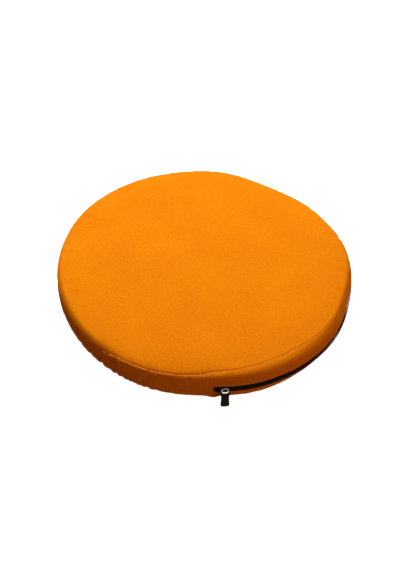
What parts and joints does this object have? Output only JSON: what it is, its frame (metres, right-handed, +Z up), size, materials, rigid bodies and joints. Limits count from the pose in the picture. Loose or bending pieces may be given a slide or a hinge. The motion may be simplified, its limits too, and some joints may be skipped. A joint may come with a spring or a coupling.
{
  "type": "round floor cushion",
  "caption": "Flat round floor cushion in an orange canvas cover, with a gathered side band and a black zip along part of its side.",
  "frame": {"origin": "on the surface that the cushion lies on, under the middle of the cushion", "axes": "+Z up through the cushion's thickness, -Y towards the pull tab at the front, +X to the right as seen from there"},
  "size_m": [0.3995, 0.4023, 0.046],
  "materials": {
    "canvas": "matt orange canvas with a fine plain weave",
    "zip_tape": "black woven tape",
    "zip_coil": "black nylon coil",
    "black_enamel": "black enamel, satin, a little worn at its edges",
    "bright_metal": "bright nickel plate"
  },
  "bodies": {
    "root": {"cushion": "canvas", "side_band_plain": "canvas", "zip_strip_upper": "canvas", "zip_strip_lower": "canvas", "zip_tape_upper": "zip_tape", "zip_tape_lower": "zip_tape", "zip_coil": "zip_coil", "zip_slider": "black_enamel", "pull_tab": "black_enamel", "pull_eyelet": "bright_metal"}
  },
  "joints": []
}
